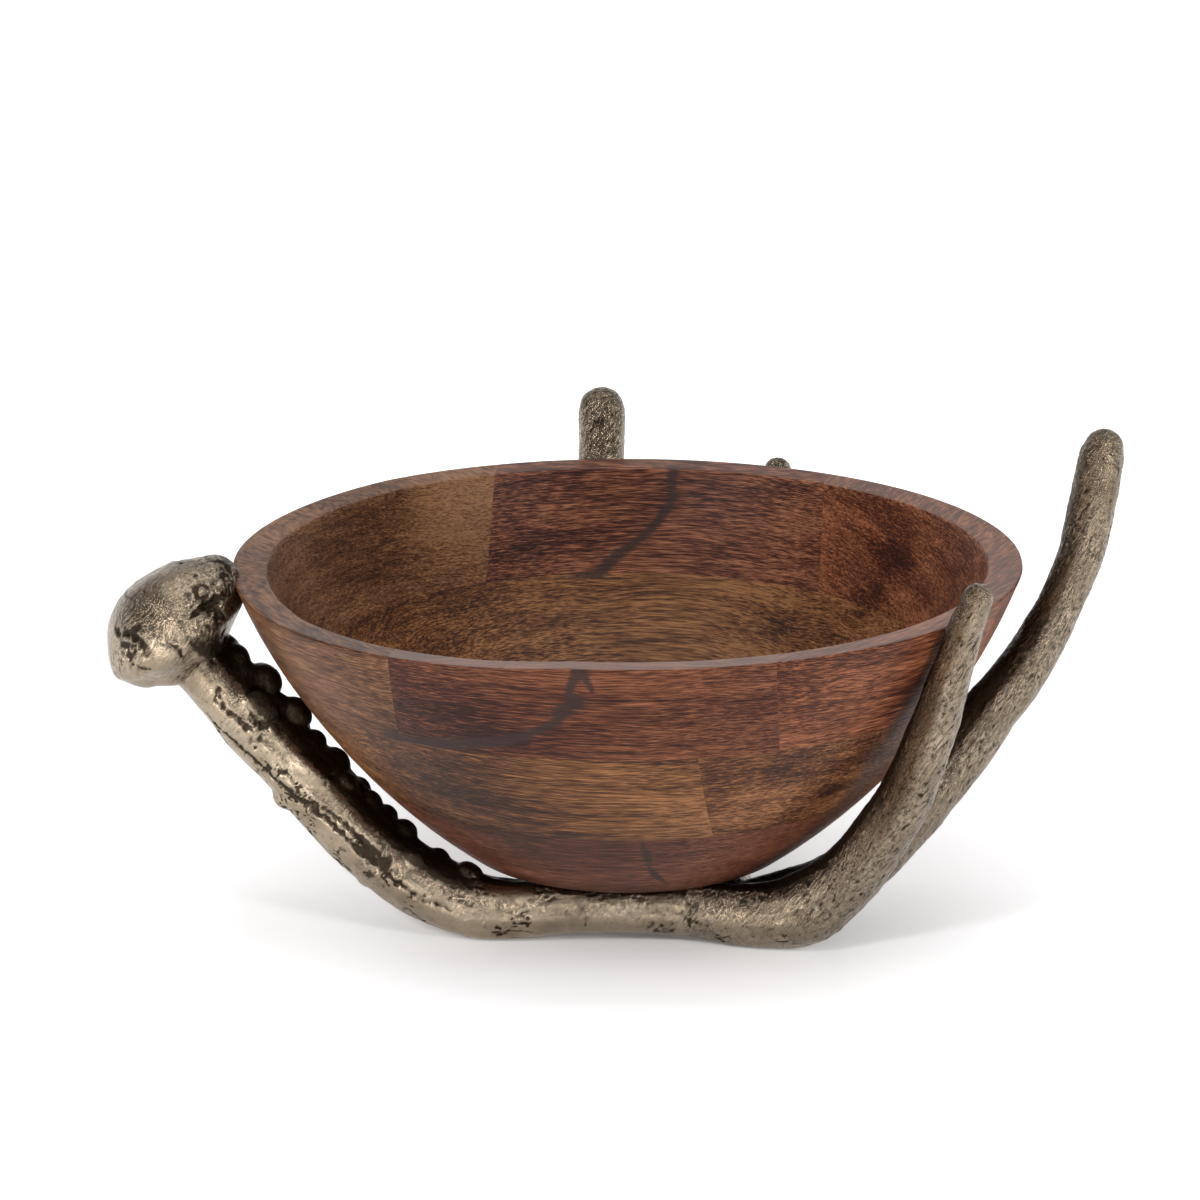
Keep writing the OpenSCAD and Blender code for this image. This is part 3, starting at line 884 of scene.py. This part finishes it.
def metal(name):
    """Warm nickel over cast aluminium: worn bright on the high places, near black in the hollows, with
    painted shade where it faces the bowl and a painted brown reflection of the bowl on the tines.
    """
    m = Nodes(name)
    point, coarse = m.place(), m.mark("coarse")

    # Hollows and creases like a hide's, drawn out along the tines.
    slanted = m.mapped(point, turn=(0, -32, 0))
    hide = m.noise(m.mapped(slanted, scale=(760, 640, 170)), 4.0, 0.66, 0.5)
    crease = m.steps(m.math("ABSOLUTE", m.math("SUBTRACT", hide, 0.5)), [(0.0, 1.0), (0.05, 0.0)])
    hollow = m.steps(hide, [(0.34, 1.0), (0.48, 0.0)])
    marks = m.math("MULTIPLY_ADD", hollow, 0.66, m.math("MULTIPLY", crease, 0.36))
    marks = m.math("MULTIPLY", marks, coarse)

    # Casting grain, specks, cloudy wear, and file marks across the beam.
    grain = m.noise(m.mapped(point, scale=(1500, 1500, 1500)), 2.0, 0.6)
    speck = m.noise(m.mapped(point, scale=(420, 420, 420)), 3.0, 0.65)
    cloud = m.noise(m.mapped(point, scale=(60, 60, 60)), 3.0, 0.55)
    brushed = m.noise(m.mapped(m.mapped(point, turn=(0, -42, 0)), scale=(1900, 900, 240)), 2.0, 0.6)

    # Where dark finish is left, and where painted shade darkens the side facing the bowl.
    soil_and_shade = m.math("MULTIPLY_ADD", speck, 0.9, -0.47)
    soil_and_shade = m.math("ADD", m.math("MULTIPLY_ADD", cloud, 0.6, -0.30), soil_and_shade)
    soil_and_shade = m.math("MULTIPLY_ADD", brushed, 0.5, m.math("ADD", soil_and_shade, -0.25))
    soil_and_shade = m.math("MULTIPLY_ADD", m.mark("dirt"), 1.1, soil_and_shade)
    soil_and_shade = m.math("ADD", marks, soil_and_shade)
    # Painted shade where the castings face the bowl.
    soil_and_shade = m.math("MULTIPLY_ADD", m.mark("shade"), 0.95, soil_and_shade)
    grime_and_shade = m.steps(soil_and_shade, [(0.10, 0.0), (0.55, 0.95)])

    bright = m.steps(cloud, [(0.3, DULL_NICKEL), (0.7, BRIGHT_NICKEL)])
    bright = m.blend(m.math("MULTIPLY", coarse, 0.22), bright, (0.02, 0.015, 0.01, 1))
    # Painted reflection: the tines are tinted brown where they face the bowl.
    bright = m.blend(m.math("MULTIPLY", m.mark("painted_reflection"), 0.88), bright, PAINTED_BOWL_REFLECTION)
    m.put(m.shader.inputs["Base Color"], m.blend(grime_and_shade, bright, GRIME_AND_SHADE))
    m.shader.inputs["Metallic"].default_value = 1.0
    rough = m.math("MULTIPLY_ADD", grime_and_shade, 0.16, m.math("MULTIPLY_ADD", grain, 0.08, 0.12))
    m.put(m.shader.inputs["Roughness"], rough)

    relief = m.math("MULTIPLY", coarse, 1.35)
    height = m.math("MULTIPLY_ADD", m.math("SUBTRACT", hide, 0.5), relief, m.math("MULTIPLY", grain, 0.07))
    height = m.math("MULTIPLY_ADD", brushed, 0.11, height)
    height = m.math("MULTIPLY_ADD", speck, 0.24, height)
    height = m.math("MULTIPLY_ADD", marks, -0.25, height)
    m.put(m.shader.inputs["Normal"], m.bump(height, 0.0010, 0.85))
    return m.material


# Each wood's colours, from its deepest lines to its palest fibres.
RED = ((0.015, 0.004, 0.003), (0.053, 0.015, 0.008), (0.129, 0.041, 0.020), (0.258, 0.103, 0.053))
BROWN = ((0.018, 0.007, 0.004), (0.059, 0.024, 0.011), (0.124, 0.055, 0.026), (0.234, 0.122, 0.063))
GOLD = ((0.016, 0.006, 0.003), (0.057, 0.021, 0.009), (0.125, 0.049, 0.018), (0.252, 0.111, 0.042))
ORANGE = ((0.017, 0.006, 0.003), (0.065, 0.022, 0.009), (0.150, 0.056, 0.022), (0.292, 0.129, 0.053))
PLUM = ((0.020, 0.007, 0.004), (0.060, 0.019, 0.010), (0.117, 0.037, 0.020), (0.20, 0.078, 0.045))


def tinted(palette, red, green, blue):
    return [(r * red, g * green, b * blue) for r, g, b in palette]


LOOKS = {
    # The last number of each rim wood is the strength of the painted sheen on the rim's top.
    "rim_front": wood("front_wood", (0, 0, 7), tinted(RED, 0.77, 0.72, 0.66), 0.95, 0.0, 0.34),
    "rim_back": wood("back_wood", (0, 0, 7), RED, 1.15, 1.7, 0.12),
    "rim_left": wood("left_wood", (3, -3, 60), tinted(BROWN, 1.0, 0.94, 0.85), 0.85, 3.1, 0.10),
    "rim_right": wood("right_wood", (-6, -8, -53), tinted(RED, 1.2, 1.15, 0.98), 0.95, 4.3, 0.24),
    "wall_left": wood("gold_wood", (-5, 0, 8), GOLD, 1.05, 5.9),
    "wall_right": wood("brown_wood", (4, 0, 8), ORANGE, 1.0, 7.7),
    "base": wood("plum_wood", (0, 0, 8), PLUM, 0.9, 9.1),
}
for key, piece in bowl_pieces.items():
    piece.data.materials.append(LOOKS[key])
cast_look = metal("aged_nickel")
for piece in metal_pieces:
    piece.data.materials.append(cast_look)


# ---- Floor, light and camera ----

def lamp(name, at, target, size, power):
    light = bpy.data.lights.new(name, "AREA")
    light.shape = "RECTANGLE"
    light.size, light.size_y = size
    light.energy = power
    holder = bpy.data.objects.new(name, light)
    holder.location = at
    holder.rotation_euler = (Vector(target) - Vector(at)).to_track_quat("-Z", "Y").to_euler()
    bpy.context.scene.collection.objects.link(holder)


def pale_paper():
    """The floor's white: it glows a little more with distance, and a painted contact shadow dims it close
    under the beam.
    """
    m = Nodes("floor_white")
    m.shader.inputs["Base Color"].default_value = (0.86, 0.865, 0.875, 1)
    m.shader.inputs["Roughness"].default_value = 0.9
    m.shader.inputs["Specular IOR Level"].default_value = 0.1
    glow = m.steps(m.math("MULTIPLY", m.length(m.place()), 0.5), [(0.15, 0.47), (0.6, 0.95)])
    # Painted contact shadow: the glow is dimmed in a fixed oval under the beam.
    beneath = m.length(m.mapped(m.place(), scale=(0.35, 1, 1), shift=(-0.0035, 0.067, 0)))
    painted_contact_shadow = m.steps(beneath, [(0.0, 0.46), (0.016, 0.38), (0.03, 0.25), (0.052, 0.11), (0.09, 0.0)])
    m.put(m.shader.inputs["Emission Color"], m.math("SUBTRACT", glow, painted_contact_shadow))
    m.shader.inputs["Emission Strength"].default_value = 1.0
    return m.material


def grey_steps(nodes, stops):
    made = nodes.new("ShaderNodeValToRGB")
    for stop, (position, grey) in zip(made.color_ramp.elements, stops):
        stop.position, stop.color = position, (grey, grey, grey, 1)
    return made


def studio_world():
    """A white room that is darker in front, as the castings mirror it, and white below the horizon."""
    world = bpy.data.worlds.new("studio")
    world.use_nodes = True
    sky, links = world.node_tree.nodes, world.node_tree.links
    toward = sky.new("ShaderNodeSeparateXYZ")
    links.new(sky.new("ShaderNodeTexCoord").outputs["Generated"], toward.inputs[0])
    wall = sky.new("ShaderNodeMath")
    wall.operation = "MULTIPLY_ADD"
    links.new(toward.outputs["Z"], wall.inputs[0])
    wall.inputs[1].default_value = -1.3
    links.new(toward.outputs["Y"], wall.inputs[2])
    tones = grey_steps(sky, [(0.0, 0.2), (0.75, 1.25)])
    links.new(wall.outputs[0], tones.inputs[0])
    low = grey_steps(sky, [(0.085, 1.0), (0.105, 0.0)])
    links.new(toward.outputs["Z"], low.inputs[0])
    most = sky.new("ShaderNodeMix")
    most.data_type, most.blend_type = "RGBA", "LIGHTEN"
    most.inputs[0].default_value = 1.0
    links.new(tones.outputs[0], most.inputs[6])
    links.new(low.outputs[0], most.inputs[7])
    links.new(most.outputs[2], sky["Background"].inputs["Color"])
    return world


floor_mesh = bpy.data.meshes.new("floor")
floor_mesh.from_pydata([(-15, -8, 0), (15, -8, 0), (15, 22, 0), (-15, 22, 0)], [], [(0, 1, 2, 3)])
floor_mesh.materials.append(pale_paper())
floor = bpy.data.objects.new("floor", floor_mesh)
bpy.context.scene.collection.objects.link(floor)

bpy.context.scene.world = studio_world()
lamp("overhead", (0, 0.1, 1.9), (0, 0, 0), (2.2, 1.5), 23)
lamp("front_left", (-1.25, -2.05, 1.65), (-0.05, 0, 0.1), (0.4, 0.4), 24)
lamp("strip_left", (-1.7, -1.45, 0.3), (0.15, -0.05, 0.1), (0.25, 0.5), 18)
lamp("strip_right", (1.35, -1.4, 0.85), (-0.1, -0.02, 0.08), (0.3, 0.5), 17)

# The camera looks at the rim's middle from the photograph's height, then is aimed a little left and down.
CAMERA_ELEVATION = math.radians(15.47)
CAMERA_DISTANCE = 2
AIM_LEFT, AIM_DOWN = 0.0121, 0.0199

RIM_CENTRE = Vector((AXIS.x, AXIS.y, TOP_Z))
rise, reach = math.sin(CAMERA_ELEVATION), math.cos(CAMERA_ELEVATION)
camera_data = bpy.data.cameras.new("camera")
camera_data.sensor_width = 36
camera_data.lens = 135.45
camera_data.clip_end = 60
camera = bpy.data.objects.new("camera", camera_data)
camera.location = RIM_CENTRE + CAMERA_DISTANCE * Vector((0, -reach, rise))
aim = RIM_CENTRE - Vector((AIM_LEFT, 0, 0)) - AIM_DOWN * Vector((0, rise, reach))
camera.rotation_euler = (aim - camera.location).to_track_quat("-Z", "Y").to_euler()
bpy.context.scene.collection.objects.link(camera)
bpy.context.scene.camera = camera
bpy.context.scene.view_settings.view_transform = "Standard"
